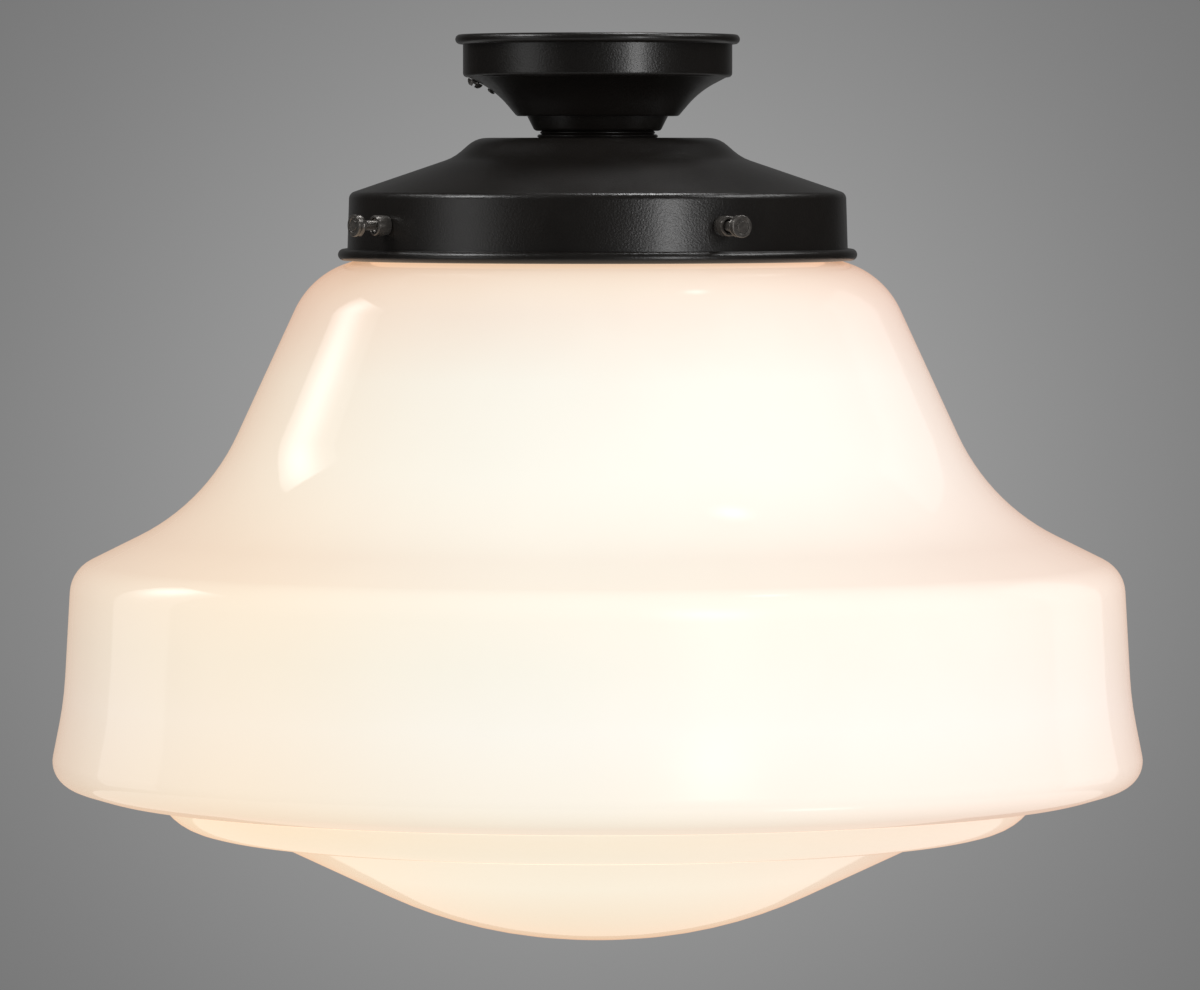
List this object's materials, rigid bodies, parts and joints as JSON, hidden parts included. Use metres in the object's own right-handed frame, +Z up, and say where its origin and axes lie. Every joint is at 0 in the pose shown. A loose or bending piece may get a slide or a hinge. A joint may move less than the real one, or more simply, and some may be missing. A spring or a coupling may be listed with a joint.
{
  "type": "semi flush ceiling light",
  "caption": "Semi-flush ceiling light: dark metal canopy and spun holder with thumbscrews, carrying a stepped opal glass shade with a lit lamp inside.",
  "frame": {"origin": "centre of the canopy's rim in the ceiling plane", "axes": "+Z up into the ceiling, the light hangs along -Z; -Y faces the viewer of the picture, +X to the viewer's right"},
  "size_m": [0.4574, 0.4574, 0.3789],
  "materials": {
    "dark_metal": "satin black baked enamel with a fine orange peel",
    "dark_hardware": "satin black plated steel, bright on the edges",
    "zinc_steel": "zinc plated",
    "green_screw": "green dyed zinc",
    "opal_glass": "glossy opal glass, lit from within",
    "porcelain": "white glaze",
    "brass": "plain rolled brass",
    "aluminium": "plain rolled",
    "black_glass": "black glass",
    "solder": "dull solder",
    "frosted_glass": "inside frosted",
    "clear_glass": "clear",
    "filament": "phosphor coat"
  },
  "bodies": {
    "fixture": {"canopy": "dark_metal", "canopy_screw": "dark_hardware", "canopy_nut": "zinc_steel", "canopy_rivet": "dark_hardware", "crossbar": "zinc_steel", "ground_screw": "green_screw", "threaded_nipple": "zinc_steel", "crossbar_locknut": "zinc_steel", "neck_cup": "dark_metal", "neck_ring": "dark_metal", "shade_holder": "dark_metal", "holder_spring_washer": "zinc_steel", "holder_nut": "zinc_steel", "screw_bosses": "dark_hardware", "socket_locknut": "zinc_steel", "socket_cap": "zinc_steel", "socket_porcelain": "porcelain", "terminal_screws": "brass", "cap_screws": "zinc_steel", "socket_screw_shell": "brass", "socket_centre_contact": "brass"},
    "glass": {"glass_shade": "opal_glass"},
    "thumbscrew_back_right": {"thumbscrew_back_right": "dark_hardware"},
    "thumbscrew_back_left": {"thumbscrew_back_left": "dark_hardware"},
    "thumbscrew_front_left": {"thumbscrew_front_left": "dark_hardware"},
    "thumbscrew_front_right": {"thumbscrew_front_right": "dark_hardware"},
    "lamp": {"lamp_base": "aluminium", "lamp_insulator": "black_glass", "lamp_contact": "solder", "lamp_envelope": "frosted_glass", "lamp_stem": "clear_glass", "lamp_filaments": "filament"}
  },
  "joints": [
    {"name": "glass_drop", "type": "slide", "parent": "fixture", "child": "glass", "axis": [0, 0, -1], "range_m": [0, 0.03]},
    {"name": "thumbscrew_back_right_travel", "type": "slide", "parent": "fixture", "child": "thumbscrew_back_right", "axis": [0.829, 0.5592, 0], "range_m": [0, 0.01]},
    {"name": "thumbscrew_back_left_travel", "type": "slide", "parent": "fixture", "child": "thumbscrew_back_left", "axis": [-0.4848, 0.8746, 0], "range_m": [0, 0.01]},
    {"name": "thumbscrew_front_left_travel", "type": "slide", "parent": "fixture", "child": "thumbscrew_front_left", "axis": [-0.829, -0.5592, 0], "range_m": [0, 0.01]},
    {"name": "thumbscrew_front_right_travel", "type": "slide", "parent": "fixture", "child": "thumbscrew_front_right", "axis": [0.4848, -0.8746, 0], "range_m": [0, 0.01]},
    {"name": "lamp_unscrew", "type": "slide", "parent": "fixture", "child": "lamp", "axis": [0, 0, -1], "range_m": [0, 0.027]}
  ],
  "couplings": [
    {"joint": "thumbscrew_back_right_travel", "follows": "glass_drop", "ratio": 0.3333},
    {"joint": "thumbscrew_back_left_travel", "follows": "glass_drop", "ratio": 0.3333},
    {"joint": "thumbscrew_front_left_travel", "follows": "glass_drop", "ratio": 0.3333},
    {"joint": "thumbscrew_front_right_travel", "follows": "glass_drop", "ratio": 0.3333}
  ]
}
